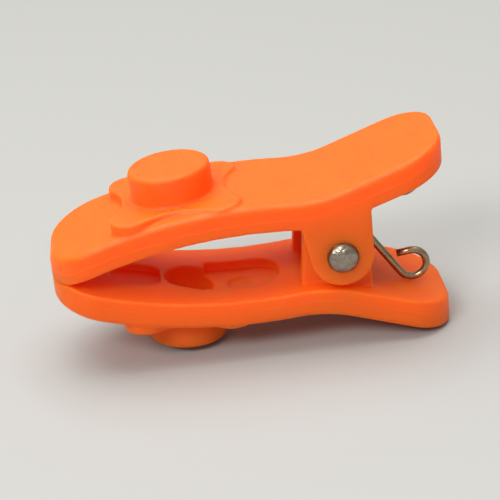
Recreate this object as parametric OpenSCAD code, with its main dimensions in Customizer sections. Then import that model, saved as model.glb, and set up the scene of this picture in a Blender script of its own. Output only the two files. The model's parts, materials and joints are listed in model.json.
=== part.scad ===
// Miniature spring clamp: two moulded levers, a riveted hinge and a torsion spring.
// X runs from the jaw tips to the handles, Y along the hinge, Z up. Millimetres.
// Each lever is drawn as the upper one, about the hinge axis. The lower one is its mirror image.

/* [Levers] */
// Width of both levers
lever_w = 8; // [7:0.1:10]
// Hinge axis to the jaw tips
jaw_reach = 17; // [16:0.1:20]
// Hinge axis to the ends of the handles
handle_reach = 6.5; // [6:0.05:9]
// Thickness of the lever plate
plate_t = 1.64; // [1.4:0.02:1.8]
// Thickness of the plate at the end of the handle
handle_t = 1.78; // [1.4:0.02:2.2]
// Corner radius of the jaw tips, seen from above
jaw_corner_r = 2.7; // [1:0.1:3.5]
// Corner radius of the handles, seen from above
handle_corner_r = 2.7; // [1:0.1:3.5]
// Rounding of the plate's outer edges
edge_r = 0.36; // [0.15:0.01:0.45]
// Rounding of the edges round its inner face
inner_edge_r = 0.14; // [0.1:0.01:0.4]

/* [Side shape] */
// Clear height of the mouth between the closed jaws, at its highest
mouth_h = 4.18; // [4.18:0.02:4.6]
// Highest point of the jaws' bow, ahead of the hinge axis
bow_x = 5.2; // [4.5:0.1:6]
// Radius of the jaws' bow
bow_r = 30.2; // [26:0.2:34]
// Where the bow ends and the neck begins, ahead of the hinge axis
neck_x = 2.9; // [2.6:0.1:3.4]
// Radius of the neck
neck_r = 9; // [7:0.2:11]
// Slope of the handles
handle_slope = 18.4; // [15:0.1:22]
// Gap left between the closed jaw tips
tip_gap = 0.06; // [0.04:0.01:0.12]

/* [Coupling stud] */
// Diameter of the stud
stud_d = 4.9; // [4.6:0.05:5]
// Height of the stud above its pad
stud_h = 1.8; // [1.4:0.05:2]
// Rounding of the stud's rim
stud_edge = 0.25; // [0.1:0.05:0.4]
// Stud axis, ahead of the hinge axis
stud_x = 9.35; // [9:0.05:10]
// Height of the pad's top at the stud axis, from the middle plane
pad_z = 3.73; // [3.6:0.01:3.9]
// Lean of the pad towards the jaw tips
pad_lean = 3.5; // [0:0.5:4]
// Radius of the pad's four corner lobes
lobe_r = 1.25; // [1:0.05:1.3]
// Lobe centres from the stud axis, along and across
lobe_pitch = 2.6; // [2.3:0.05:2.6]
// Half width of the pad at its waists
waist = 3.05; // [2.9:0.05:3.3]
// Height of the pad, most of it sunk in the plate
pad_h = 1.2; // [1.1:0.05:1.3]

/* [Inside of the jaws] */
// Width of the channel towards the jaw tips
channel_w = 2.7; // [2:0.1:3]
// Depth of the channel
channel_depth = 0.44; // [0.2:0.02:0.6]
// Front end of the channel, ahead of the hinge axis
channel_front = 13.7; // [12.5:0.1:14]
// Rear end of the channel, ahead of the hinge axis
channel_rear = 10.75; // [10.7:0.05:11]
// Width of the pocket towards the hinge
pocket_w = 3.8; // [3.6:0.1:5]
// Depth of the pocket
pocket_depth = 0.58; // [0.4:0.02:0.8]
// Front end of the pocket, ahead of the hinge axis
pocket_front = 7.95; // [7.8:0.05:8.4]
// Rear end of the pocket, ahead of the hinge axis
pocket_rear = 3.5; // [3.2:0.1:4]
// Radius of the pocket's two rear corners
pocket_rear_r = 1.7; // [0.6:0.1:1.7]
// Radius of the other corners of channel and pocket
trough_r = 0.5; // [0.3:0.1:0.8]
// Diameter of the hollow under the stud
core_d = 2.9; // [2:0.02:3]
// Axis of that hollow, ahead of the hinge axis
core_x = 9.05; // [8.9:0.05:9.2]
// Plastic left between that hollow and the stud's face
core_roof = 1.2; // [0.8:0.1:1.5]
// Diameter of the ejector mark
ejector_d = 1.6; // [1.2:0.1:2]
// Depth of the ejector mark below the pocket
ejector_depth = 0.12; // [0.05:0.01:0.2]
// Ejector mark, ahead of the hinge axis
ejector_x = 5.9; // [5.4:0.05:6.4]

/* [Hinge] */
// Radius of the outer ears round the hinge axis
outer_ear_r = 1.86; // [1.6:0.02:1.94]
// Radius of the inner ears round the hinge axis
inner_ear_r = 1.75; // [1.5:0.02:1.85]
// Thickness of the outer ears
outer_ear_t = 1; // [0.8:0.05:1.1]
// Thickness of the inner ears
inner_ear_t = 0.95; // [0.8:0.05:1.1]
// Front edge of the outer ears at the plate, ahead of the hinge axis
outer_ear_front = 2.45; // [2.2:0.05:2.6]
// Front edge of the inner ears at the plate, ahead of the hinge axis
inner_ear_front = 2.5; // [2.3:0.05:2.7]
// Front edge of the inner ears at their free end, ahead of the hinge axis
inner_ear_tip = 2.1; // [2:0.05:2.3]
// Corner radius of the inner ears
inner_ear_corner = 0.5; // [0.2:0.1:1]
// Running gap between outer and inner ears
ear_gap = 0.08; // [0.05:0.01:0.15]
// Diameter of the rivet's shank
shank_d = 1.3; // [1.1:0.05:1.6]
// Radial clearance of the shank in the ears
shank_clear = 0.04; // [0.02:0.01:0.08]
// Diameter of the rivet's heads
head_d = 1.88; // [1.8:0.02:2.4]
// Height of the rivet's heads
head_h = 0.55; // [0.35:0.05:0.7]
// Gap between a rivet head and its ear
head_gap = 0.03; // [0.02:0.01:0.08]

/* [Torsion spring] */
// Diameter of the wire
wire_d = 0.45; // [0.35:0.01:0.5]
// Mean radius of the coil
coil_r = 1.52; // [1.2:0.02:1.6]
// Turns of the coil, the two legs counted as parts of the last one
coil_turns = 4; // [3:1:6]
// Gap between neighbouring turns
turn_gap = 0.03; // [0.03:0.01:0.1]
// Mean radius of the hook at the end of each leg
hook_r = 0.87; // [0.7:0.01:0.9]
// Centre of the hooks, behind the hinge axis
hook_x = 4.48; // [4.3:0.02:4.8]
// Angle through which the wire turns round a hook
hook_turn = 243; // [200:1:260]
// Straight free end of the wire past the hook
hook_tail = 0.8; // [0.5:0.05:1.1]
// Gap between a hook and the handle that it presses on
hook_gap = 0.06; // [0.02:0.01:0.1]

/* [Hidden] */
$fn = 64;
cut = 0.05;
plastic = "darkorange";

half_w = lever_w / 2;
crown_z = (mouth_h + plate_t) / 2;

// ---- Middle line of the plate, seen from the side: bow, neck and straight handle ----

neck_slope = -asin((bow_x - neck_x) / bow_r);
neck_z = crown_z - bow_r * (1 - cos(neck_slope));
neck_centre = [-neck_x - neck_r * sin(neck_slope), neck_z + neck_r * cos(neck_slope)];
handle_start = neck_centre + neck_r * [sin(handle_slope), -cos(handle_slope)];

// Slope of the middle line at x
function slope_at(x) =
    x < -neck_x ? -asin((x + bow_x) / bow_r)
    : x < handle_start[0] ? asin((x - neck_centre[0]) / neck_r)
    : handle_slope;

// Height of the middle line at x
function middle_z(x) =
    x < -neck_x ? crown_z - bow_r * (1 - cos(slope_at(x)))
    : x < handle_start[0] ? neck_centre[1] - neck_r * cos(slope_at(x))
    : handle_start[1] + (x - handle_start[0]) * tan(handle_slope);

// Half the plate's thickness at x, which grows along the handle
function half_t(x) = (plate_t + (handle_t - plate_t) * max(0, (x + neck_x) / (handle_reach + neck_x))) / 2;

// Height at x of a face that lies v above the middle line, measured square to it
function face_z(x, v) = middle_z(x) + v / cos(slope_at(x));
function inner_z(x) = face_z(x, -half_t(x));

// ---- Plate: a stack of outlines seen from above, inset by the edge rounding, on the side shape ----

edge_steps = 3;
corner_steps = 6;
bow_steps = 14;
neck_steps = 6;

// One side of the plate's outline, inset by i, as [x, half width] from the tip to the handle's end
function side_outline(i) = concat(
    [for (k = [0:corner_steps]) let (a = 90 * k / corner_steps, r = jaw_corner_r)
        [-jaw_reach + r - (r - i) * cos(a), half_w - r + (r - i) * sin(a)]],
    [for (k = [1:bow_steps]) let (start = jaw_reach - jaw_corner_r)
        [-start + (start - neck_x) * k / bow_steps, half_w - i]],
    [for (k = [1:neck_steps]) [-neck_x + (handle_start[0] + neck_x) * k / neck_steps, half_w - i]],
    [for (k = [corner_steps:-1:0]) let (a = 90 * k / corner_steps, r = handle_corner_r)
        [handle_reach - r + (r - i) * cos(a), half_w - r + (r - i) * sin(a)]]
);

// Layers through the thickness, as [inset, depth below the nearer face, side of the middle line]
layers = concat(
    [for (k = [0:edge_steps]) edge_layer(90 * k / edge_steps, inner_edge_r, -1)],
    [for (k = [edge_steps:-1:0]) edge_layer(90 * k / edge_steps, edge_r, 1)]
);
function edge_layer(a, r, side) = [r * (1 - sin(a)), r * (1 - cos(a)), side];

// A point of the plate, kept above the face on which the two jaws meet
function plate_point(x, y, layer) =
    [x, y, max(face_z(x, layer[2] * (half_t(x) - layer[1])), tip_gap / 2)];

// A layer's ring of points: out along one side and back along the other
function layer_ring(layer) =
    let (side = side_outline(layer[0]), last = len(side) - 1)
    concat(
        [for (k = [0:last]) plate_point(side[k][0], -side[k][1], layer)],
        [for (k = [last:-1:0]) plate_point(side[k][0], side[k][1], layer)]
    );

// Triangles between the rings of n points each, wound for a stack that rises
function wall_faces(rings, n) = [
    for (k = [0:rings - 2]) for (j = [0:n - 1])
    let (a = k * n + j, b = k * n + (j + 1) % n)
    each [[a, a + n, b + n], [a, b + n, b]]
];

// Bands across the plate that close the ring of n points starting at first
function cap_bands(first, n, side) = [
    for (j = [0:n / 2 - 2])
    let (band = [first + j, first + j + 1, first + n - 2 - j, first + n - 1 - j])
    side > 0 ? [band[3], band[2], band[1], band[0]] : band
];

plate_points = [for (layer = layers) each layer_ring(layer)];
ring_n = 2 * len(side_outline(0));
plate_faces = concat(
    wall_faces(len(layers), ring_n),
    cap_bands(0, ring_n, -1),
    cap_bands((len(layers) - 1) * ring_n, ring_n, 1)
);

// ---- Frame: the middle of the box, on its lowest points ----

plate_x = [for (p = plate_points) p[0]];
plate_top = max([for (p = plate_points) p[2]]);
stud_top = pad_z + (stud_d / 2 - stud_edge) * sin(pad_lean) + (stud_h - stud_edge) * cos(pad_lean) + stud_edge;
hinge_x = -(min(plate_x) + max(plate_x)) / 2;
hinge_z = max(plate_top, stud_top);

// ---- Pieces of a lever, drawn about the hinge axis ----

module lever_plate() {
    polyhedron(plate_points, plate_faces, convexity = 4);
}

// Places its children on the pad's top at the stud axis
module on_pad() {
    translate([-stud_x, 0, pad_z])
    rotate([0, -pad_lean, 0])
        children();
}

// Four lobes round a core, with a hollow arc between each two that touches both
module stud_pad() {
    rise = waist - lobe_pitch;
    arc_r = (pow(lobe_pitch, 2) + pow(rise, 2) - pow(lobe_r, 2)) / (2 * (lobe_r - rise));
    touch = lobe_r / (lobe_r + arc_r);
    near = lobe_pitch * (1 - touch);
    far = lobe_pitch + (arc_r + rise) * touch;
    translate([0, 0, -pad_h])
    difference() {
        union() {
            linear_extrude(pad_h)
                polygon([
                    [near, -far], [far, -near], [far, near], [near, far],
                    [-near, far], [-far, near], [-far, -near], [-near, -far]
                ]);
            for (x = [-1, 1], y = [-1, 1])
                translate([x * lobe_pitch, y * lobe_pitch, 0])
                    cylinder(r = lobe_r, h = pad_h);
        }
        for (a = [0:90:270])
            rotate([0, 0, a])
            translate([arc_r + waist, 0, -cut])
                cylinder(r = arc_r, h = pad_h + 2 * cut, $fn = 128);
    }
}

module stud() {
    rotate_extrude()
        polygon(concat(
            [[0, -cut], [stud_d / 2, -cut]],
            [for (a = [0:15:90])
                [stud_d / 2 - stud_edge * (1 - cos(a)), stud_h - stud_edge * (1 - sin(a))]],
            [[0, stud_h]]
        ));
}

// An arc of radius r round centre c, from one angle to another
arc_steps = 8;
function arc(c, r, from, to) =
    [for (k = [0:arc_steps]) let (a = from + (to - from) * k / arc_steps) c + r * [cos(a), sin(a)]];

// Extrudes the XZ outline that is its child over the given width, from y towards +Y
module side_shape(y, width) {
    translate([0, y + width, 0])
    rotate([90, 0, 0])
    linear_extrude(width)
        children();
}

// A shallow hollow from front to rear, whose floor follows the jaw's bow
module trough(front, rear, w, depth, rear_r) {
    intersection() {
        linear_extrude(crown_z)
            polygon(concat(
                arc([trough_r - front, w / 2 - trough_r], trough_r, 180, 90),
                arc([-rear_r - rear, w / 2 - rear_r], rear_r, 90, 0),
                arc([-rear_r - rear, rear_r - w / 2], rear_r, 0, -90),
                arc([trough_r - front, trough_r - w / 2], trough_r, -90, -180)
            ));
        side_shape(-w / 2 - cut, w + 2 * cut)
            polygon(concat(
                [for (k = [-1:bow_steps + 1]) let (x = -front + (front - rear) * k / bow_steps)
                    [x, face_z(x, depth - half_t(x))]],
                [[-rear + cut, -cut], [-front - cut, -cut]]
            ));
    }
}

// What is cut from the inside of a jaw: channel, pocket, hollow under the stud and ejector mark
module jaw_hollows() {
    trough(channel_front, channel_rear, channel_w, channel_depth, trough_r);
    trough(pocket_front, pocket_rear, pocket_w, pocket_depth, pocket_rear_r);
    translate([-core_x, 0, 0])
        cylinder(d = core_d, h = pad_z + (stud_h - core_roof) * cos(pad_lean));
    translate([-ejector_x, 0, 0])
        cylinder(d = ejector_d, h = inner_z(-ejector_x) + pocket_depth + ejector_depth);
}

// A pair of outer ears, flush with the plate's sides
module outer_ears() {
    corner = [-outer_ear_front, middle_z(-outer_ear_front)];
    tangent = atan2(corner[1], corner[0]) + acos(outer_ear_r / norm(corner));
    for (side = [0, 1])
        mirror([0, side, 0])
        difference() {
            union() {
                side_shape(half_w - outer_ear_t, outer_ear_t)
                    polygon([
                        outer_ear_r * [cos(tangent), sin(tangent)], corner,
                        [outer_ear_r, middle_z(outer_ear_r)], [outer_ear_r, 0], [0, 0]
                    ]);
                side_shape(half_w - outer_ear_t, outer_ear_t)
                    circle(r = outer_ear_r);
            }
            shank_bore();
        }
}

// A pair of inner ears, which turn just inside the outer ones
module inner_ears() {
    c = inner_ear_corner;
    y = half_w - outer_ear_t - ear_gap - inner_ear_t;
    root = [-inner_ear_front, middle_z(-inner_ear_front)];
    lean = atan2(inner_ear_front - inner_ear_tip, root[1] + inner_ear_r);
    for (side = [0, 1])
        mirror([0, side, 0])
        difference() {
            union() {
                side_shape(y, inner_ear_t)
                    polygon(concat(
                        [[0, -inner_ear_r], [inner_ear_r, 0], [inner_ear_r, middle_z(inner_ear_r)], root],
                        arc([c - inner_ear_tip, c - inner_ear_r], c, 180 + lean, 270)
                    ));
                side_shape(y, inner_ear_t)
                    circle(r = inner_ear_r);
            }
            shank_bore();
        }
}

module shank_bore() {
    rotate([90, 0, 0])
        cylinder(d = shank_d + 2 * shank_clear, h = lever_w + 2 * cut, center = true);
}

// Plate, pad and stud with the inside hollowed
module jaw_body() {
    difference() {
        union() {
            lever_plate();
            on_pad() {
                stud_pad();
                stud();
            }
        }
        jaw_hollows();
    }
}

// ---- Wire of the spring: lower hook and leg, coil, upper leg and hook ----

wire_sides = 10;
coil_step = 18;
hook_step = 14;

hook_centre = [hook_x, -inner_z(hook_x) + (hook_r + wire_d / 2 + hook_gap) / cos(handle_slope)];
leg_heading = atan2(hook_centre[1], hook_centre[0]) - asin((coil_r + hook_r) / norm(hook_centre));
leg_angle = leg_heading + 90;
coil_sweep = 360 * coil_turns - 2 * leg_angle;
coil_half_l = coil_sweep / 360 * (wire_d + turn_gap) / 2;

// The lower leg from the coil outwards, as [x, z, heading]
hook_steps = ceil(hook_turn / hook_step);
tail_heading = leg_heading + hook_turn;
hook_arc = [
    for (k = [0:hook_steps]) let (h = leg_heading + hook_turn * k / hook_steps)
    [hook_centre[0] + hook_r * sin(h), hook_centre[1] - hook_r * cos(h), h]
];
hook_end = hook_arc[hook_steps];
leg_path = concat(
    hook_arc,
    [[hook_end[0] + hook_tail * cos(tail_heading), hook_end[1] + hook_tail * sin(tail_heading), tail_heading]]
);

coil_steps = round(coil_sweep / coil_step);
coil_path = [
    for (k = [0:coil_steps]) let (a = leg_angle + coil_sweep * k / coil_steps)
    [coil_r * cos(a), coil_half_l * (2 * k / coil_steps - 1), coil_r * sin(a), a + 90]
];

// The whole wire, as [x, y, z, heading]
wire_path = concat(
    [for (k = [len(leg_path) - 1:-1:0]) [leg_path[k][0], -coil_half_l, leg_path[k][1], leg_path[k][2] + 180]],
    coil_path,
    [for (p = leg_path) [p[0], coil_half_l, -p[1], -p[2]]]
);

wire_points = [
    for (p = wire_path) for (j = [0:wire_sides - 1])
    let (a = 360 * j / wire_sides, across = wire_d / 2 * cos(a))
    [p[0] - across * sin(p[3]), p[1] + wire_d / 2 * sin(a), p[2] + across * cos(p[3])]
];
wire_faces = concat(
    wall_faces(len(wire_path), wire_sides),
    [[for (j = [0:wire_sides - 1]) j]],
    [[for (j = [wire_sides - 1:-1:0]) (len(wire_path) - 1) * wire_sides + j]]
);

// ---- The four pieces, in the clamp's own frame ----

module at_hinge() {
    translate([hinge_x, 0, hinge_z])
        children();
}

module upper_lever() {
    color(plastic)
    at_hinge() {
        jaw_body();
        outer_ears();
    }
}

module lower_lever() {
    color(plastic)
    at_hinge()
    mirror([0, 0, 1]) {
        jaw_body();
        inner_ears();
    }
}

// One shank with a domed head at each end
module hinge_rivet() {
    half_l = half_w + head_gap;
    color("silver")
    at_hinge()
    rotate([90, 0, 0])
    rotate_extrude()
        polygon(concat(
            [for (a = [90:-15:0]) [head_d / 2 * cos(a), -half_l - head_h * sin(a)]],
            [[shank_d / 2, -half_l], [shank_d / 2, half_l]],
            [for (a = [0:15:90]) [head_d / 2 * cos(a), half_l + head_h * sin(a)]]
        ));
}

module torsion_spring() {
    color("dimgray")
    at_hinge()
        polyhedron(wire_points, wire_faces, convexity = 8);
}

upper_lever();
lower_lever();
hinge_rivet();
torsion_spring();
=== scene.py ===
"""Miniature spring clamp: the looks of its four pieces.

The pieces are modelled in millimetres about the hinge axis, with X towards the handles,
Y along the rivet and Z up, and are scaled and moved to their place when they are finished.
"""

import json
import math

import bmesh
import bpy
from bpy.props import (
    FloatProperty,
    FloatVectorProperty,
    IntProperty,
    PointerProperty,
)
from mathutils import Matrix, Vector


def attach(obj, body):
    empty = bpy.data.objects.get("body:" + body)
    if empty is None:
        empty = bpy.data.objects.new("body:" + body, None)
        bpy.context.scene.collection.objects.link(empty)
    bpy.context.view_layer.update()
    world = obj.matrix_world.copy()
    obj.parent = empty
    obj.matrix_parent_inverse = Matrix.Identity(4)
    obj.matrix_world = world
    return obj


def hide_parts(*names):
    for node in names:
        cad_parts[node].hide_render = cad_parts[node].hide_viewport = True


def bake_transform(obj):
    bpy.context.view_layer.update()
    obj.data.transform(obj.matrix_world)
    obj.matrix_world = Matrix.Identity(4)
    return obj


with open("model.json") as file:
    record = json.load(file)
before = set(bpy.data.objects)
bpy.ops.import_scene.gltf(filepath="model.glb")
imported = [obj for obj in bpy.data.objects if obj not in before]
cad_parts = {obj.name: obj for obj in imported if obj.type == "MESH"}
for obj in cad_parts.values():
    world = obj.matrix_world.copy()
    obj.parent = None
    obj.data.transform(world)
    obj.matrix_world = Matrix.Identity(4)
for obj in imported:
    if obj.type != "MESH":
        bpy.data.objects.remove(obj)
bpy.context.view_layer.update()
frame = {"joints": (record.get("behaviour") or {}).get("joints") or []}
HINGE = Vector(frame["joints"][0]["pos_m"])

bl_info = {
    "name": "Miniature spring clamp",
    "version": (1, 0, 0),
    "blender": (4, 5, 0),
    "location": "View3D > Sidebar > Clamp",
    "description": "Models a two-lever spring clamp with a riveted hinge and a torsion spring",
    "category": "Object",
}

MM = 0.001


# ---- Sizes and colours that a user would change ----


def length(name, description, default):
    """A length in metres."""
    return FloatProperty(
        name=name, description=description, default=default, precision=5, unit="LENGTH"
    )


def point(name, description, default):
    """A place in metres."""
    return FloatVectorProperty(
        name=name,
        description=description,
        default=default,
        precision=5,
        subtype="TRANSLATION",
        unit="LENGTH",
    )


def angle(name, description, degrees):
    """An angle, given here in degrees."""
    return FloatProperty(
        name=name,
        description=description,
        default=math.radians(degrees),
        unit="ROTATION",
    )


def colour(name, description, default):
    """A linear RGB colour."""
    return FloatVectorProperty(
        name=name, description=description, default=default, subtype="COLOR", min=0, max=1
    )


def share(name, description, default):
    """A number from 0 to 1."""
    return FloatProperty(
        name=name, description=description, default=default, min=0, max=1, subtype="FACTOR"
    )


def number(name, description, default, unit="NONE"):
    """A number of 0 or more."""
    return FloatProperty(name=name, description=description, default=default, min=0, unit=unit)


class LeverSizes(bpy.types.PropertyGroup):
    """Sizes of the two levers' plates"""

    width: length("Width", "Width of both levers", 0.008)
    jaw_reach: length("Jaw reach", "Hinge axis to the jaw tips", 0.017)
    handle_reach: length("Handle reach", "Hinge axis to the handles' ends", 0.0065)
    plate_t: length("Plate thickness", "Thickness of the plate", 0.00164)
    handle_t: length("Handle thickness", "Thickness at the handle's end", 0.00178)
    jaw_corner: length("Jaw corners", "Corner radius of the jaw tips", 0.0027)
    handle_corner: length("Handle corners", "Corner radius of the handles", 0.0027)
    edge_round: length("Edge rounding", "Rounding of the outer edges", 0.00034)
    inner_round: length("Inner rounding", "Rounding of the inner edges", 0.0001)
    mouth_height: length("Mouth height", "Clear height between the jaws", 0.00418)
    bow_x: length("Bow's top", "Highest point of the bow, ahead of the hinge", 0.0052)
    bow_radius: length("Bow radius", "Radius of the jaws' bow", 0.0302)
    neck_x: length("Neck's front", "Where the neck begins, ahead of the hinge", 0.0029)
    neck_radius: length("Neck radius", "Radius of the neck", 0.009)
    handle_slope: angle("Handle slope", "Slope of the handles", 18.4)
    tip_gap: length("Tip gap", "Gap left between the closed jaw tips", 0.00006)
    seam_z: length("Seam height", "Mould seam, outwards from the plate's middle", -0.00014)


class StudSizes(bpy.types.PropertyGroup):
    """Sizes of the coupling stud and its four-lobed pad"""

    diameter: length("Stud diameter", "Diameter of the stud", 0.0049)
    height: length("Stud height", "Height of the stud above its pad", 0.0018)
    edge_round: length("Stud rim", "Rounding of the stud's rim", 0.00025)
    ahead: length("Stud axis", "Stud axis, ahead of the hinge", 0.00935)
    pad_z: length("Pad's top", "Pad's top at the stud axis, from the middle plane", 0.00373)
    lean: angle("Pad lean", "Lean of the pad towards the jaw tips", 3.5)
    lobe_radius: length("Lobe radius", "Radius of the pad's corner lobes", 0.00125)
    lobe_pitch: length("Lobe pitch", "Lobe centres from the stud axis", 0.0026)
    waist: length("Waist", "Half width of the pad between its lobes", 0.00305)
    pad_height: length("Pad height", "Height of the pad, most of it sunk", 0.0012)
    pad_round: length("Pad edges", "Rounding of the pad's top edges", 0.00014)


class HollowSizes(bpy.types.PropertyGroup):
    """Sizes of what is hollowed out of each jaw's inside"""

    channel_width: length("Channel width", "Width of the channel", 0.0027)
    channel_depth: length("Channel depth", "Depth of the channel", 0.00044)
    channel_front: length("Channel front", "Front end of the channel", 0.0137)
    channel_rear: length("Channel rear", "Rear end of the channel", 0.01075)
    channel_corner: length("Channel corners", "Corner radius of the channel", 0.0008)
    pocket_width: length("Pocket width", "Width of the pocket", 0.0038)
    pocket_depth: length("Pocket depth", "Depth of the pocket", 0.00058)
    pocket_front: length("Pocket front", "Front end of the pocket", 0.00805)
    pocket_rear: length("Pocket rear", "Rear end of the pocket", 0.0035)
    front_corner: length("Front corners", "Radius of the pocket's front corners", 0.0003)
    rear_corner: length("Rear corners", "Radius of the pocket's rear corners", 0.0017)
    floor_round: length("Floor edges", "Rounding along both floors", 0.00012)
    core_diameter: length("Core", "Diameter of the hollow under the stud", 0.0029)
    core_x: length("Core axis", "Axis of that hollow, ahead of the hinge", 0.00905)
    core_nose_x: length("Nose ahead", "Corner of that hollow, ahead of the hinge", 0.00826)
    core_nose_y: length("Nose aside", "The same corner, to the side", 0.00168)
    core_nose_radius: length("Nose radius", "Radius of that corner", 0.00023)
    core_roof: length("Core roof", "Plastic left below the stud's face", 0.0012)
    ejector_diameter: length("Ejector mark", "Diameter of the ejector mark", 0.0016)
    ejector_depth: length("Ejector depth", "Its depth below the pocket", 0.00018)
    ejector_x: length("Ejector place", "Its axis, ahead of the hinge", 0.0059)


class HingeSizes(bpy.types.PropertyGroup):
    """Sizes of the ears and of the rivet"""

    outer_ear_r: length("Outer ear radius", "Outer ears, round the axis", 0.00186)
    inner_ear_r: length("Inner ear radius", "Inner ears, round the axis", 0.00175)
    outer_ear_t: length("Outer ear thickness", "Thickness of the outer ears", 0.001)
    inner_ear_t: length("Inner ear thickness", "Thickness of the inner ears", 0.00095)
    outer_ear_front: length("Outer ear front", "Their front edge at the plate", 0.00245)
    inner_ear_front: length("Inner ear front", "Their front edge at the plate", 0.0025)
    inner_ear_tip: length("Inner ear tip", "Their front edge at the free end", 0.0021)
    inner_ear_corner: length("Inner ear corner", "Its front corner's radius", 0.0005)
    ear_gap: length("Ear gap", "Running gap between the ears", 0.00008)
    shank_diameter: length("Shank diameter", "Diameter of the rivet's shank", 0.0013)
    shank_clearance: length("Clearance", "Radial clearance of the shank", 0.00004)
    head_diameter: length("Head diameter", "Diameter of the rivet's heads", 0.00188)
    head_height: length("Head height", "Height of the rivet's heads", 0.00055)
    head_gap: length("Head gap", "Gap between a head and its ear", 0.00003)
    peen_depth: length("Peen marks", "Depth of the hammer marks on the heads", 0.00005)


class SpringSizes(bpy.types.PropertyGroup):
    """Sizes of the torsion spring"""

    wire_diameter: length("Wire", "Diameter of the wire", 0.00045)
    coil_radius: length("Coil radius", "Mean radius of the coil", 0.00152)
    turns: IntProperty(
        name="Turns", description="Turns of the coil, its legs included", default=4, min=3
    )
    turn_gap: length("Turn gap", "Gap between neighbouring turns", 0.00003)
    hook_radius: length("Hook radius", "Mean radius of the hooks", 0.00087)
    hook_x: length("Hook place", "Centre of the hooks, behind the hinge", 0.00448)
    hook_turn: angle("Hook turn", "How far the wire turns round a hook", 243)
    hook_tail: length("Hook tail", "Straight end of the wire", 0.0008)
    hook_gap: length("Hook gap", "Gap between a hook and its handle", 0.00006)


class Finishes(bpy.types.PropertyGroup):
    """Colours and gloss of plastic and metal"""

    plastic: colour("Plastic", "Colour of the moulded plastic", (1.0, 0.125, 0.004))
    plastic_roughness: share("Plastic roughness", "Roughness of the plastic", 0.5)
    glow_depth: length("Glow depth", "How far light spreads in the plastic", 0.003)
    seam_paleness: share("Seam paleness", "How much paler the mould seam is", 0.4)
    steel: colour("Rivet steel", "Colour of the rivet", (0.38, 0.325, 0.26))
    steel_roughness: share("Rivet roughness", "Roughness of the rivet", 0.22)
    # Shade painted round the rim of each rivet head: its colour, and the radii where it starts
    # and where it is full
    grime: colour("Shade", "Colour of the grime round the rivet's heads", (0.16, 0.10, 0.06))
    clean_radius: length("Unshaded radius", "Radius up to which a head is clean", 0.00072)
    grime_radius: length("Grime radius", "Radius past which it is all grime", 0.00095)
    wire: colour("Spring wire", "Colour of the tempered wire", (0.43, 0.33, 0.20))
    wire_roughness: share("Wire roughness", "Roughness of the wire", 0.28)


class StageSizes(bpy.types.PropertyGroup):
    """Camera, floor and lights"""

    camera_place: point("Camera", "Its place", (-0.00430829, -0.09163929, 0.04728535))
    camera_target: point("Target", "What it looks at", (0.00008233, -0.0002304, 0.00550459))
    camera_roll: angle("Camera roll", "Turn of the camera about its view", -5.97996)
    focal_length: number("Focal length", "In millimetres", 120.35, unit="CAMERA")
    floor: colour("Floor", "Colour of the floor", (0.40, 0.40, 0.385))
    floor_side: length("Floor side", "Side of the square floor", 4.0)
    sky: number("Sky", "Strength of the sky at the zenith", 0.75)
    horizon: number("Horizon", "Strength of the sky at the horizon", 0.28)
    sky_colour: colour("Sky colour", "Colour of the sky", (1.0, 0.98, 0.95))
    ceiling: number("Ceiling light", "In watts", 1.02, unit="POWER")
    ceiling_place: point("Ceiling light's place", "Its middle", (-0.03, 0.04, 0.30))
    ceiling_side: length("Ceiling light's side", "Side of the square light", 0.30)
    window: number("Window light", "In watts", 0.48, unit="POWER")
    window_place: point("Window light's place", "Its middle", (-0.12, -0.19, 0.185))
    window_width: length("Window light's width", "Width of the light", 0.13)
    window_height: length("Window light's height", "Height of the light", 0.07)


class Millimetres:
    """Reads a group's lengths in millimetres and its other values as they are."""

    def __init__(self, group):
        self.group = group

    def __getattr__(self, name):
        value = getattr(self.group, name)
        unit = self.group.bl_rna.properties[name].unit
        return value / MM if unit == "LENGTH" else value


# ---- Side shape of a plate: bow, neck and straight handle ----


class SideShape:
    """The plate's middle line seen from the side, about the hinge axis."""

    def __init__(self, lever):
        self.lever = lever
        self.crown_z = (lever.mouth_height + lever.plate_t) / 2
        start = -math.asin((lever.bow_x - lever.neck_x) / lever.bow_radius)
        neck_z = self.crown_z - lever.bow_radius * (1 - math.cos(start))
        self.neck_cx = -lever.neck_x - lever.neck_radius * math.sin(start)
        self.neck_cz = neck_z + lever.neck_radius * math.cos(start)
        self.handle_x = self.neck_cx + lever.neck_radius * math.sin(lever.handle_slope)
        self.handle_z = self.neck_cz - lever.neck_radius * math.cos(lever.handle_slope)

    def slope(self, x):
        """Slope of the middle line, in radians."""
        lever = self.lever
        if x < -lever.neck_x:
            return -math.asin((x + lever.bow_x) / lever.bow_radius)
        if x < self.handle_x:
            return math.asin((x - self.neck_cx) / lever.neck_radius)
        return lever.handle_slope

    def middle(self, x):
        """Height of the middle line."""
        lever = self.lever
        if x < -lever.neck_x:
            return self.crown_z - lever.bow_radius * (1 - math.cos(self.slope(x)))
        if x < self.handle_x:
            return self.neck_cz - lever.neck_radius * math.cos(self.slope(x))
        return self.handle_z + (x - self.handle_x) * math.tan(lever.handle_slope)

    def half(self, x):
        """Half the plate's thickness, which grows along the handle."""
        lever = self.lever
        grown = max(0, (x + lever.neck_x) / (lever.handle_reach + lever.neck_x))
        return (lever.plate_t + (lever.handle_t - lever.plate_t) * grown) / 2

    def face(self, x, side):
        """Height of the inner (-1) or outer (1) face."""
        return self.middle(x) + side * self.half(x) / math.cos(self.slope(x))


# ---- Modelling by hand ----

PARALLEL = 0.99  # cosine above which two directions count as one
ACROSS = 0.2  # cosine below which they count as square to each other
TOUCHING = 1e-5  # points that are closer than this are merged


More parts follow.
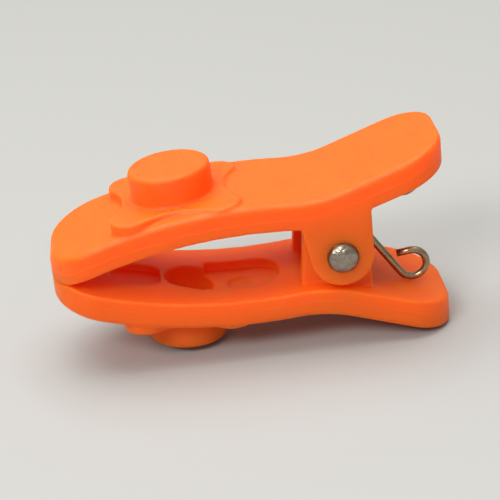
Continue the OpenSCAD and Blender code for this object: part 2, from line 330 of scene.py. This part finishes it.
def pick(obj, mode="OBJECT"):
    """Makes an object the only selected one, and goes to the given mode."""
    if bpy.context.mode != "OBJECT":
        bpy.ops.object.mode_set(mode="OBJECT")
    bpy.ops.object.select_all(action="DESELECT")
    obj.select_set(True)
    bpy.context.view_layer.objects.active = obj
    bpy.ops.object.mode_set(mode=mode)


def settle(obj):
    """Moves an object's place, turn and scale into its mesh."""
    pick(obj)
    bpy.ops.object.transform_apply(location=True, rotation=True, scale=True)
    return obj


def block(name, low, high):
    """A block between two corners."""
    low, high = Vector(low), Vector(high)
    bpy.ops.object.select_all(action="DESELECT")
    bpy.ops.mesh.primitive_cube_add(size=1, location=(low + high) / 2, scale=high - low)
    made = bpy.context.active_object
    made.name = name
    return settle(made)


def rod(name, radius, start, end, sides=64):
    """A round rod between two points."""
    start, end = Vector(start), Vector(end)
    along = end - start
    bpy.ops.object.select_all(action="DESELECT")
    bpy.ops.mesh.primitive_cylinder_add(
        vertices=sides,
        radius=radius,
        depth=along.length,
        location=(start + end) / 2,
        rotation=along.to_track_quat("Z", "Y").to_euler(),
    )
    made = bpy.context.active_object
    made.name = name
    return settle(made)


def select_edges(obj, wanted):
    """In edit mode, selects the edges for which wanted(middle, along, faces) is true."""
    pick(obj, "EDIT")
    bpy.ops.mesh.select_all(action="DESELECT")
    bpy.ops.mesh.select_mode(type="EDGE")
    mesh = bmesh.from_edit_mesh(obj.data)
    for edge in mesh.edges:
        a, b = (vertex.co for vertex in edge.verts)
        edge.select_set(bool(wanted((a + b) / 2, (b - a).normalized(), edge.link_faces)))
    bmesh.update_edit_mesh(obj.data)


def select_faces(obj, wanted):
    """In edit mode, selects the faces for which wanted(middle, normal) is true."""
    pick(obj, "EDIT")
    bpy.ops.mesh.select_all(action="DESELECT")
    bpy.ops.mesh.select_mode(type="FACE")
    mesh = bmesh.from_edit_mesh(obj.data)
    for face in mesh.faces:
        face.select_set(bool(wanted(face.calc_center_median(), face.normal)))
    bmesh.update_edit_mesh(obj.data)


def upright(middle, along, faces):
    """Picks all upright edges."""
    return abs(along.z) > PARALLEL


def upright_past(x, side):
    """Picks the upright edges past x, towards the jaw (-1) or the handle (1)."""
    return lambda middle, along, faces: abs(along.z) > PARALLEL and (middle.x - x) * side > 0


def rim(side):
    """Picks the edges between upright walls and the flat top (1) or bottom (-1)."""

    def wanted(middle, along, faces):
        levels = sorted(face.normal.z * side for face in faces)
        return len(levels) == 2 and levels[1] > PARALLEL and abs(levels[0]) < ACROSS

    return wanted


def round_edges(obj, wanted, radius, segments):
    """Bevels the edges for which wanted(middle, along, faces) is true."""
    select_edges(obj, wanted)
    bpy.ops.mesh.bevel(
        offset=radius, offset_type="OFFSET", segments=segments, profile=0.5, affect="EDGES"
    )
    bpy.ops.object.mode_set(mode="OBJECT")


def slice_mesh(obj, place, normal, **settings):
    """Bisects the whole mesh by a plane."""
    pick(obj, "EDIT")
    bpy.ops.mesh.select_all(action="SELECT")
    bpy.ops.mesh.bisect(plane_co=place, plane_no=normal, threshold=1e-6, **settings)
    bpy.ops.object.mode_set(mode="OBJECT")


def apply_modifiers(obj):
    """Applies all of an object's modifiers, first one first."""
    pick(obj)
    for modifier in list(obj.modifiers):
        bpy.ops.object.modifier_apply(modifier=modifier.name)


def combine(obj, tool, operation):
    """Joins a tool to the object, or cuts it away, and deletes the tool."""
    modifier = obj.modifiers.new(operation.title(), "BOOLEAN")
    modifier.operation = operation
    modifier.solver = "EXACT"
    modifier.object = tool
    apply_modifiers(obj)
    bpy.data.objects.remove(tool)


def hull(name, parts):
    """The convex hull of some parts."""
    pick(parts[0])
    for part in parts[1:]:
        part.select_set(True)
    bpy.ops.object.join()
    made = bpy.context.active_object
    made.name = name
    pick(made, "EDIT")
    bpy.ops.mesh.select_all(action="SELECT")
    bpy.ops.mesh.convex_hull()
    bpy.ops.object.mode_set(mode="OBJECT")
    return made


def face_outwards(obj):
    """Merges a closed mesh's doubles and turns its faces outwards."""
    pick(obj, "EDIT")
    bpy.ops.mesh.select_all(action="SELECT")
    bpy.ops.mesh.remove_doubles(threshold=TOUCHING)
    bpy.ops.mesh.normals_make_consistent(inside=False)
    bpy.ops.object.mode_set(mode="OBJECT")


def mirrored_y(obj):
    """A copy on the other side of the XZ plane, with its faces outwards."""
    pick(obj)
    bpy.ops.object.duplicate()
    made = bpy.context.active_object
    made.scale.y = -1
    settle(made)
    face_outwards(made)
    return made


def finish_piece(obj, name, body, node, material):
    """Scales a piece to metres, moves it to the hinge and gives it to its body, if it has one."""
    obj.name = obj.data.name = name
    obj.scale = (MM, MM, MM)
    obj.location = HINGE
    settle(obj)
    bpy.ops.object.shade_smooth()
    obj.data.materials.clear()
    obj.data.materials.append(material)
    if body:
        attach(obj, body)
    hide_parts(node)


# ---- Levers ----

PLATE_SLICES = 72  # slices along the plate, so that it can bend
CAGE_POINTS = 64  # points along the lattice that bends it
CAGE_MARGIN = 1.02  # the lattice's width, as a share of the plate's
ROOT_BAR = (0.02, 0.05)  # X and Z of the thin bar that an ear's edge ends in
ARC_REACH = (2, 1)  # how far the tools for the pad's arcs reach below and above it
MARK_REACH = 0.4  # how far the ejector mark's tool reaches into the pocket
BORE_REACH = 0.5  # how far the bore's tool reaches past the lever's sides
GRAIN = 0.087  # grain of a lever's finished surface
SMOOTHING = 4  # rounds of smoothing that make its small fillets
CORE_WALL = 0.3  # round the hollow under the stud, where no seam shows
NO_SEAM = 9.0  # a height that is far from the seam


def flat_plate(lever, hollows):
    """The plate before it is bent, with its rounded edges, channel and pocket."""
    low = (-lever.jaw_reach, -lever.width / 2, -lever.plate_t / 2)
    high = (lever.handle_reach, lever.width / 2, lever.plate_t / 2)
    plate = block("Plate", low, high)
    round_edges(plate, upright_past(0, -1), lever.jaw_corner, segments=14)
    round_edges(plate, upright_past(0, 1), lever.handle_corner, segments=14)
    round_edges(plate, rim(1), lever.edge_round, segments=5)
    round_edges(plate, rim(-1), lever.inner_round, segments=3)
    trough(
        plate,
        lever,
        ends=(hollows.channel_front, hollows.channel_rear),
        corners=(hollows.channel_corner, hollows.channel_corner),
        width=hollows.channel_width,
        depth=hollows.channel_depth,
        floor_round=hollows.floor_round,
    )
    trough(
        plate,
        lever,
        ends=(hollows.pocket_front, hollows.pocket_rear),
        corners=(hollows.front_corner, hollows.rear_corner),
        width=hollows.pocket_width,
        depth=hollows.pocket_depth,
        floor_round=hollows.floor_round,
    )
    return plate


def trough(plate, lever, ends, corners, width, depth, floor_round):
    """Cuts a shallow hollow into the flat plate's inner face. Ends and corners: front first."""
    front, rear = (-end for end in ends)
    low = (front, -width / 2, -lever.plate_t)
    high = (rear, width / 2, depth - lever.plate_t / 2)
    tool = block("Tool", low, high)
    middle = (front + rear) / 2
    round_edges(tool, upright_past(middle, -1), corners[0], segments=8)
    round_edges(tool, upright_past(middle, 1), corners[1], segments=14)
    round_edges(tool, rim(1), floor_round, segments=3)
    combine(plate, tool, "DIFFERENCE")


def bend_plate(plate, lever, shape):
    """Bends the flat plate to the side shape with a lattice, then trims the jaw's tip."""
    reach = lever.jaw_reach + lever.handle_reach
    for k in range(1, PLATE_SLICES):
        slice_mesh(plate, (-lever.jaw_reach + reach * k / PLATE_SLICES, 0, 0), (1, 0, 0))
    middle = (lever.handle_reach - lever.jaw_reach) / 2
    bpy.ops.object.select_all(action="DESELECT")
    bpy.ops.object.add(type="LATTICE", location=(middle, 0, 0))
    cage = bpy.context.active_object
    cage.scale = (reach, lever.width * CAGE_MARGIN, lever.plate_t)
    grid = cage.data
    grid.points_u, grid.points_v, grid.points_w = CAGE_POINTS, 2, 2
    grid.interpolation_type_u = "KEY_CATMULL_ROM"
    grid.interpolation_type_v = grid.interpolation_type_w = "KEY_LINEAR"
    for knot in grid.points:
        height = shape.face(middle + knot.co.x * reach, math.copysign(1, knot.co.z))
        knot.co_deform.z = height / lever.plate_t
    bpy.context.view_layer.update()
    plate.modifiers.new("Bend", "LATTICE").object = cage
    apply_modifiers(plate)
    bpy.data.objects.remove(cage)
    slice_mesh(plate, (0, 0, lever.tip_gap / 2), (0, 0, 1), use_fill=True, clear_inner=True)


def quarter_turns(x, y):
    """A point, and the same point after one, two and three quarter turns about Z."""
    start = Vector((x, y, 0))
    return [Matrix.Rotation(math.radians(90 * k), 3, "Z") @ start for k in range(4)]


def lobed_pad(stud):
    """A pad with four round lobes and a hollow arc between each two."""
    # Each arc touches the waist and two lobes. It meets a lobe at the point (far, near).
    rise = stud.waist - stud.lobe_pitch
    arc = (stud.lobe_pitch**2 + rise**2 - stud.lobe_radius**2) / (2 * (stud.lobe_radius - rise))
    touch = stud.lobe_radius / (stud.lobe_radius + arc)
    near = stud.lobe_pitch * (1 - touch)
    far = stud.lobe_pitch + (arc + rise) * touch
    down = Vector((0, 0, stud.pad_height))
    below, above = (Vector((0, 0, reach)) for reach in ARC_REACH)
    pad = block("Pad", (-far, -far, -stud.pad_height), (far, far, 0))
    round_edges(pad, upright, far - near, segments=1)
    for centre in quarter_turns(arc + stud.waist, 0):
        tool = rod("Tool", arc, centre - below, centre + above, sides=160)
        combine(pad, tool, "DIFFERENCE")
    for centre in quarter_turns(stud.lobe_pitch, stud.lobe_pitch):
        combine(pad, rod("Lobe", stud.lobe_radius, centre - down, centre), "UNION")
    round_edges(pad, rim(1), stud.pad_round, segments=3)
    return pad


def stud_and_pad(stud):
    """The stud on its pad, leaning towards the jaw tips, at its place."""
    foot, top = (0, 0, -stud.pad_height / 2), (0, 0, stud.height)
    knob = rod("Stud", stud.diameter / 2, foot, top, sides=96)
    round_edges(knob, rim(1), stud.edge_round, segments=5)
    pad = lobed_pad(stud)
    combine(pad, knob, "UNION")
    pad.location = (-stud.ahead, 0, stud.pad_z)
    pad.rotation_euler = (0, -stud.lean, 0)
    return settle(pad)


def ear(lever, hinge, shape, outer):
    """One ear on the +Y side: round below, and rising to the plate."""
    if outer:
        inside, thickness = lever.width / 2 - hinge.outer_ear_t, hinge.outer_ear_t
        radius, front = hinge.outer_ear_r, hinge.outer_ear_front
    else:
        thickness = hinge.inner_ear_t
        inside = lever.width / 2 - hinge.outer_ear_t - hinge.ear_gap - thickness
        radius, front = hinge.inner_ear_r, hinge.inner_ear_front
    outside = inside + thickness
    parts = [rod("Ear", radius, (0, inside, 0), (0, outside, 0), sides=96)]
    bar_x, bar_z = ROOT_BAR
    for x, inward in ((-front, 1), (radius, -1)):
        z = shape.middle(x)
        low_x, high_x = sorted((x, x + inward * bar_x))
        parts.append(block("Root", (low_x, inside, z - bar_z), (high_x, outside, z)))
    if not outer:
        corner = hinge.inner_ear_corner
        x, z = corner - hinge.inner_ear_tip, corner - radius
        parts.append(rod("Corner", corner, (x, inside, z), (x, outside, z), sides=48))
    return hull("Ear", parts)


def cored_hollow(hollows, roof):
    """The hollow under the stud: a round core with one corner drawn out."""
    radius, core = hollows.core_nose_radius, -hollows.core_x
    x, y = -hollows.core_nose_x, -hollows.core_nose_y
    bore = rod("Core", hollows.core_diameter / 2, (core, 0, 0), (core, 0, roof))
    return hull("Tool", [bore, rod("Nose", radius, (x, y, 0), (x, y, roof), sides=32)])


def ejector_mark(hollows, shape):
    """The round mark in the pocket's floor, as a tool that starts inside the pocket."""
    x = -hollows.ejector_x
    floor = shape.face(x, -1) + hollows.pocket_depth
    low, high = (x, 0, floor - MARK_REACH), (x, 0, floor + hollows.ejector_depth)
    return rod("Tool", hollows.ejector_diameter / 2, low, high)


def soften(obj):
    """Remakes the surface in an even grain and smooths it, as a mould's small fillets do."""
    remesh = obj.modifiers.new("Remesh", "REMESH")
    remesh.mode = "VOXEL"
    remesh.voxel_size = GRAIN
    remesh.use_smooth_shade = True
    smooth = obj.modifiers.new("Smooth", "SMOOTH")
    smooth.factor = 0.5
    smooth.iterations = SMOOTHING
    apply_modifiers(obj)


def mark_seam(obj, lever, hollows, shape):
    """Keeps each point's height over the mould seam, in millimetres, in an attribute."""
    seam = obj.data.attributes.new("seam", "FLOAT", "POINT")
    heights = []
    for vertex in obj.data.vertices:
        x, y, z = vertex.co
        in_core = math.hypot(x + hollows.core_x, y) < hollows.core_diameter / 2 + CORE_WALL
        height = (z - shape.middle(x)) * math.cos(shape.slope(x)) - lever.seam_z
        heights.append(NO_SEAM if in_core else height)
    seam.data.foreach_set("value", heights)


def model_lever(lever, stud, hollows, hinge, outer):
    """A whole lever as the upper one, with outer or inner ears."""
    shape = SideShape(lever)
    body = flat_plate(lever, hollows)
    bend_plate(body, lever, shape)
    combine(body, stud_and_pad(stud), "UNION")
    side = ear(lever, hinge, shape, outer)
    combine(body, mirrored_y(side), "UNION")
    combine(body, side, "UNION")
    roof = stud.pad_z + (stud.height - hollows.core_roof) * math.cos(stud.lean)
    combine(body, cored_hollow(hollows, roof), "DIFFERENCE")
    combine(body, ejector_mark(hollows, shape), "DIFFERENCE")
    bore, reach = hinge.shank_diameter / 2 + hinge.shank_clearance, lever.width / 2 + BORE_REACH
    combine(body, rod("Tool", bore, (0, -reach, 0), (0, reach, 0)), "DIFFERENCE")
    soften(body)
    mark_seam(body, lever, hollows, shape)
    return body


class CLAMP_OT_levers(bpy.types.Operator):
    """Model the upper and the lower lever"""

    bl_idname = "clamp.levers"
    bl_label = "Levers"

    def execute(self, context):
        scene = context.scene
        lever, stud = Millimetres(scene.clamp_lever), Millimetres(scene.clamp_stud)
        hollows, hinge = Millimetres(scene.clamp_hollows), Millimetres(scene.clamp_hinge)
        material = plastic(scene.clamp_finishes)
        upper = model_lever(lever, stud, hollows, hinge, outer=True)
        finish_piece(upper, "UpperLever", "upper", "upper_lever", material)
        lower = model_lever(lever, stud, hollows, hinge, outer=False)
        lower.scale.z = -1
        settle(lower)
        face_outwards(lower)
        finish_piece(lower, "LowerLever", "lower", "lower_lever", material)
        return {"FINISHED"}


# ---- Rivet ----

HEAD_RIM = 0.08  # straight wall of a head, below its dome
DOME_STEPS = 6  # steps of the dome, the last of which is its flat top
MARK_SIZE = 0.42  # from one hammer mark to the next
UNMARKED = 0.12  # foot of a head, where the hammer leaves no marks


def rivet_head(obj, side, hinge):
    """Extrudes the shank's end face out into a domed head."""
    select_faces(
        obj, lambda middle, normal: normal.y * side > PARALLEL and middle.y * side > 0
    )
    bpy.ops.mesh.extrude_region_move()
    grown = hinge.head_diameter / hinge.shank_diameter
    bpy.ops.transform.resize(value=(grown, 1, grown), center_override=(0, 0, 0))
    bpy.ops.mesh.extrude_region_move(TRANSFORM_OT_translate={"value": (0, side * HEAD_RIM, 0)})
    dome = hinge.head_height - HEAD_RIM
    for k in range(1, DOME_STEPS):
        below, above = (math.radians(90 * j / DOME_STEPS) for j in (k - 1, k))
        rise = dome * (math.sin(above) - math.sin(below))
        inward = math.cos(above) / math.cos(below)
        bpy.ops.mesh.extrude_region_move(TRANSFORM_OT_translate={"value": (0, side * rise, 0)})
        bpy.ops.transform.resize(value=(inward, 1, inward), center_override=(0, 0, 0))
    bpy.ops.object.mode_set(mode="OBJECT")


def peen(obj, hinge):
    """Hammers shallow marks into the heads."""
    marks = bpy.data.textures.new("HammerMarks", "VORONOI")
    marks.noise_scale = MARK_SIZE
    marks.distance_metric = "DISTANCE_SQUARED"
    foot = max(abs(vertex.co.y) for vertex in obj.data.vertices) - hinge.head_height + UNMARKED
    heads = [vertex.index for vertex in obj.data.vertices if abs(vertex.co.y) > foot]
    obj.vertex_groups.new(name="Heads").add(heads, 1.0, "REPLACE")
    dents = obj.modifiers.new("Dents", "DISPLACE")
    dents.texture = marks
    dents.texture_coords = "LOCAL"
    dents.vertex_group = "Heads"
    dents.strength = -hinge.peen_depth
    dents.mid_level = 0
    apply_modifiers(obj)


class CLAMP_OT_rivet(bpy.types.Operator):
    """Model the hinge rivet"""

    bl_idname = "clamp.rivet"
    bl_label = "Rivet"

    def execute(self, context):
        scene = context.scene
        lever, hinge = Millimetres(scene.clamp_lever), Millimetres(scene.clamp_hinge)
        reach = lever.width / 2 + hinge.head_gap
        rivet = rod("Rivet", hinge.shank_diameter / 2, (0, -reach, 0), (0, reach, 0), sides=48)
        for side in (-1, 1):
            rivet_head(rivet, side, hinge)
        finer = rivet.modifiers.new("Finer", "SUBSURF")
        finer.levels = finer.render_levels = 2
        apply_modifiers(rivet)
        peen(rivet, hinge)
        material = hammered_steel(scene.clamp_finishes)
        finish_piece(rivet, "HingeRivet", "lower", "hinge_rivet", material)
        return {"FINISHED"}


# ---- Torsion spring ----

HOOK_STEPS = 24
COIL_STEPS = 144


def spring_line(spring, lever):
    """Points along the middle of the wire, and half the coil's length.

    They run along the lower hook and leg, the coil, and the upper leg and hook.
    """
    wire, coil_r, hook_r = spring.wire_diameter, spring.coil_radius, spring.hook_radius
    handle_z = -SideShape(lever).face(spring.hook_x, -1)
    lift = (hook_r + wire / 2 + spring.hook_gap) / math.cos(lever.handle_slope)
    hook = Vector((spring.hook_x, handle_z + lift))
    # The leg crosses from one side of the coil to the other side of the hook, and touches both.
    heading = math.atan2(hook.y, hook.x) - math.asin((coil_r + hook_r) / hook.length)
    start = heading + math.pi / 2
    sweep = 2 * math.pi * spring.turns - 2 * start
    half_l = sweep / (2 * math.pi) * (wire + spring.turn_gap) / 2

    leg = []
    for k in range(HOOK_STEPS + 1):
        turn = heading + spring.hook_turn * k / HOOK_STEPS
        leg.append(Vector((hook.x + hook_r * math.sin(turn), hook.y - hook_r * math.cos(turn))))
    tail = heading + spring.hook_turn
    leg.append(leg[-1] + spring.hook_tail * Vector((math.cos(tail), math.sin(tail))))

    line = [Vector((p.x, -half_l, p.y)) for p in reversed(leg)]
    for k in range(COIL_STEPS + 1):
        turn = start + sweep * k / COIL_STEPS
        y = half_l * (2 * k / COIL_STEPS - 1)
        line.append(Vector((coil_r * math.cos(turn), y, coil_r * math.sin(turn))))
    line += [Vector((p.x, half_l, -p.y)) for p in leg]
    return line, half_l


def wire_along(line, diameter):
    """A round wire along a line of points."""
    bpy.ops.object.select_all(action="DESELECT")
    bpy.ops.curve.primitive_nurbs_path_add(location=(0, 0, 0))
    curve = bpy.context.active_object.data
    curve.splines.clear()
    spline = curve.splines.new("POLY")
    spline.points.add(len(line) - 1)
    for knot, place in zip(spline.points, line):
        knot.co = (*place, 1)
    curve.dimensions = "3D"
    curve.bevel_depth = diameter / 2
    curve.bevel_resolution = 5
    curve.use_fill_caps = True
    bpy.ops.object.convert(target="MESH")
    made = bpy.context.active_object
    face_outwards(made)
    return made


class CLAMP_OT_spring(bpy.types.Operator):
    """Model the torsion spring"""

    bl_idname = "clamp.spring"
    bl_label = "Spring"

    def execute(self, context):
        scene = context.scene
        spring, lever = Millimetres(scene.clamp_spring), Millimetres(scene.clamp_lever)
        line, half_l = spring_line(spring, lever)
        wire = wire_along(line, spring.wire_diameter)
        material = tempered_wire(scene.clamp_finishes)
        finish_piece(wire, "TorsionSpring", None, "torsion_spring", material)
        bend = (half_l - spring.wire_diameter / 2) * MM
        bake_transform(wire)
        return {"FINISHED"}


# ---- Materials ----

COLOUR_A, COLOUR_B, MIXED = 6, 7, 2  # a Mix node's sockets for colours


class Value:
    """A node socket in an expression: arithmetic on it adds Math nodes."""

    def __init__(self, shader, socket):
        self.shader, self.socket = shader, socket

    def math(self, operation, *others, first=None):
        """The operation on this value and others, or on a first one and this."""
        values = (self, *others) if first is None else (first, self)
        settings = {"operation": operation}
        return self.shader.node("ShaderNodeMath", settings, dict(enumerate(values)))

    def __add__(self, other):
        return self.math("ADD", other)

    def __sub__(self, other):
        return self.math("SUBTRACT", other)

    def __rsub__(self, other):
        return self.math("SUBTRACT", first=other)

    def __mul__(self, other):
        return self.math("MULTIPLY", other)

    __radd__, __rmul__ = __add__, __mul__


class Shader:
    """The nodes of a material or a world, built by expressions."""

    def __init__(self, owner, surface="Principled BSDF", coordinates="Object"):
        owner.use_nodes = True
        self.owner, self.tree = owner, owner.node_tree
        self.surface = self.tree.nodes[surface]
        self.place = self.node("ShaderNodeTexCoord", output=coordinates)

    def node(self, kind, settings=None, sockets=None, output=0):
        """Adds a node: first its settings, then the values or links of its sockets."""
        made = self.tree.nodes.new(kind)
        for key, value in (settings or {}).items():
            setattr(made, key, value)
        for key, value in (sockets or {}).items():
            self.feed(made.inputs[key], value)
        return Value(self, made.outputs[output])

    def feed(self, socket, value):
        """Links a Value to a socket, or sets the socket to a number or colour."""
        if isinstance(value, Value):
            self.tree.links.new(value.socket, socket)
        else:
            socket.default_value = value

    def set(self, **sockets):
        """Feeds the surface shader's sockets, named with _ for spaces."""
        for key, value in sockets.items():
            self.feed(self.surface.inputs[key.replace("_", " ")], value)

    def noise(self, scale, detail, roughness=0.5):
        """Noise from 0 to 1, with so many grains to a metre."""
        sockets = {"Scale": scale, "Detail": detail, "Roughness": roughness}
        return self.node("ShaderNodeTexNoise", sockets={"Vector": self.place, **sockets})

    def ramp(self, value, low, high):
        """0 below low, 1 above high, with a smooth step between."""
        settings = {"interpolation_type": "SMOOTHSTEP"}
        sockets = {"Value": value, "From Min": low, "From Max": high}
        return self.node("ShaderNodeMapRange", settings, sockets)

    def vector(self, operation, *values, output="Vector"):
        """An operation on vectors."""
        settings = {"operation": operation}
        return self.node("ShaderNodeVectorMath", settings, dict(enumerate(values)), output)

    def mix(self, factor, a, b):
        """From colour a to colour b."""
        sockets = {"Factor": factor}
        for key, value in ((COLOUR_A, a), (COLOUR_B, b)):
            sockets[key] = value if isinstance(value, Value) else (*value, 1)
        return self.node("ShaderNodeMix", {"data_type": "RGBA"}, sockets, MIXED)

    def bump(self, height, distance):
        """A bump whose height of 1 is the given distance, in metres."""
        return self.node("ShaderNodeBump", sockets={"Height": height, "Distance": distance})


def plastic(finishes):
    """Satin moulded plastic, slightly translucent, with the mould's worn seam line."""
    shader = Shader(bpy.data.materials.new("MouldedPlastic"))
    mottle = shader.noise(scale=420, detail=4, roughness=0.6)
    grain = shader.noise(scale=9000, detail=2)
    height = shader.node("ShaderNodeAttribute", {"attribute_name": "seam"}, output="Fac")
    seam = 1 - shader.ramp(height.math("ABSOLUTE"), low=0.01, high=0.05)
    worn_seam = seam * shader.ramp(shader.noise(scale=700, detail=2), low=0.35, high=0.6)
    base = Vector(finishes.plastic)
    body = shader.mix(mottle, base * 0.96, (base.x, base.y * 1.05, base.z))
    pale = (base.x, base.y * 1.6, base.z * 4)
    shader.set(
        Base_Color=shader.mix(worn_seam * finishes.seam_paleness, body, pale),
        Roughness=finishes.plastic_roughness + (grain - 0.5) * 0.18,
        IOR=1.49,
        Specular_IOR_Level=0.3,
        Subsurface_Weight=1.0,
        Subsurface_Radius=(1.0, 0.2, 0.06),
        Subsurface_Scale=finishes.glow_depth,
        Normal=shader.bump(grain * 0.2 + worn_seam, distance=0.000025),
    )
    return shader.owner


def hammered_steel(finishes):
    """Dull hammered steel, with shade painted as a dark brown ring round the edge of each head.
    """
    shader = Shader(bpy.data.materials.new("HammeredSteel"))
    marks = shader.noise(scale=2600, detail=5, roughness=0.65)
    fine = shader.noise(scale=9000, detail=3)
    base = Vector(finishes.steel)
    unshaded = shader.mix(shader.ramp(marks, low=0.35, high=0.65), base * 0.8, base)
    # Painted shade: a dark brown ring round each head's rim, where the head meets its ear, set by
    # the distance from the hinge axis; the ring is also made rougher
    offset = shader.vector("SUBTRACT", shader.place, tuple(HINGE))
    flat = shader.vector("MULTIPLY", offset, (1, 0, 1))
    radius = shader.vector("LENGTH", flat, output="Value") + (marks - 0.5) * 0.0002
    grime = shader.ramp(radius, low=finishes.clean_radius, high=finishes.grime_radius)
    shader.set(
        Base_Color=shader.mix(grime, unshaded, finishes.grime),
        Metallic=1.0,
        Roughness=finishes.steel_roughness + (fine - 0.5) * 0.2 + grime * 0.2,
        Normal=shader.bump(marks, distance=0.00006),
    )
    return shader.owner


def tempered_wire(finishes):
    """Bronze-brown tempered spring wire."""
    shader = Shader(bpy.data.materials.new("TemperedWire"))
    patches = shader.noise(scale=900, detail=4, roughness=0.6)
    fine = shader.noise(scale=14000, detail=2)
    base = Vector(finishes.wire)
    shader.set(
        Base_Color=shader.mix(shader.ramp(patches, low=0.35, high=0.65), base * 0.7, base),
        Metallic=1.0,
        Roughness=finishes.wire_roughness + (fine - 0.5) * 0.2,
        Normal=shader.bump(fine, distance=0.000004),
    )
    return shader.owner


# ---- Stage ----


def lay_floor(stage):
    """A plain pale floor, which isn't part of the clamp."""
    shader = Shader(bpy.data.materials.new("PaleFloor"))
    shader.set(Base_Color=(*stage.floor, 1), Roughness=0.9, Specular_IOR_Level=0.1)
    bpy.ops.object.select_all(action="DESELECT")
    bpy.ops.mesh.primitive_plane_add(size=stage.floor_side, location=(0, 0, 0))
    floor = bpy.context.active_object
    floor.name = "Floor"
    floor.data.materials.append(shader.owner)


def soft_sky(stage):
    """A plain sky that grows brighter from the horizon to the zenith."""
    shader = Shader(bpy.data.worlds.new("Sky"), surface="Background", coordinates="Generated")
    height = shader.node("ShaderNodeSeparateXYZ", sockets={0: shader.place}, output="Z")
    sockets = {"Value": height, "To Min": stage.horizon, "To Max": stage.sky}
    strength = shader.node("ShaderNodeMapRange", sockets=sockets)
    shader.set(Color=(*stage.sky_colour, 1), Strength=strength)
    return shader.owner


def soft_box(name, place, width, height, watts):
    """A rectangular lamp that faces the clamp."""
    bpy.ops.object.light_add(type="AREA", location=place)
    lamp = bpy.context.active_object
    lamp.name = name
    lamp.data.shape = "RECTANGLE"
    lamp.data.size, lamp.data.size_y = width, height
    lamp.data.energy = watts
    lamp.rotation_euler = (-Vector(place)).to_track_quat("-Z", "Y").to_euler()


def aimed_camera(stage):
    """The camera, aimed at its target."""
    bpy.ops.object.camera_add(location=stage.camera_place)
    camera = bpy.context.active_object
    ahead = Vector(stage.camera_target) - Vector(stage.camera_place)
    roll = Matrix.Rotation(stage.camera_roll, 3, "Z")
    camera.rotation_euler = (ahead.to_track_quat("-Z", "Y").to_matrix() @ roll).to_euler()
    camera.data.sensor_width = 36
    camera.data.lens = stage.focal_length
    camera.data.clip_start, camera.data.clip_end = 0.005, 10
    return camera


class CLAMP_OT_stage(bpy.types.Operator):
    """Set the floor, the lights and the camera"""

    bl_idname = "clamp.stage"
    bl_label = "Stage"

    def execute(self, context):
        scene, stage = context.scene, context.scene.clamp_stage
        lay_floor(stage)
        scene.world = soft_sky(stage)
        side = stage.ceiling_side
        soft_box("CeilingLight", stage.ceiling_place, side, side, stage.ceiling)
        width, height = stage.window_width, stage.window_height
        soft_box("WindowLight", stage.window_place, width, height, stage.window)
        scene.camera = aimed_camera(stage)
        scene.view_settings.view_transform = "Standard"
        return {"FINISHED"}


# ---- Add-on ----


class CLAMP_PT_panel(bpy.types.Panel):
    """Lists the clamp's pieces and its stage"""

    bl_label = "Spring clamp"
    bl_space_type = "VIEW_3D"
    bl_region_type = "UI"
    bl_category = "Clamp"

    def draw(self, context):
        for operator in OPERATORS:
            self.layout.operator(operator.bl_idname)
        for name, kind in GROUPS.items():
            box = self.layout.box()
            box.label(text=kind.__doc__)
            for key in kind.__annotations__:
                box.prop(getattr(context.scene, name), key)


GROUPS = {
    "clamp_lever": LeverSizes,
    "clamp_stud": StudSizes,
    "clamp_hollows": HollowSizes,
    "clamp_hinge": HingeSizes,
    "clamp_spring": SpringSizes,
    "clamp_finishes": Finishes,
    "clamp_stage": StageSizes,
}
OPERATORS = (CLAMP_OT_levers, CLAMP_OT_rivet, CLAMP_OT_spring, CLAMP_OT_stage)


def register():
    for kind in (*GROUPS.values(), *OPERATORS, CLAMP_PT_panel):
        bpy.utils.register_class(kind)
    for name, group in GROUPS.items():
        setattr(bpy.types.Scene, name, PointerProperty(type=group))


def unregister():
    for name in GROUPS:
        delattr(bpy.types.Scene, name)
    for kind in (CLAMP_PT_panel, *OPERATORS, *GROUPS.values()):
        bpy.utils.unregister_class(kind)


def main():
    register()
    bpy.ops.clamp.levers()
    bpy.ops.clamp.rivet()
    bpy.ops.clamp.spring()
    bpy.ops.clamp.stage()


if __name__ == "__main__":
    main()
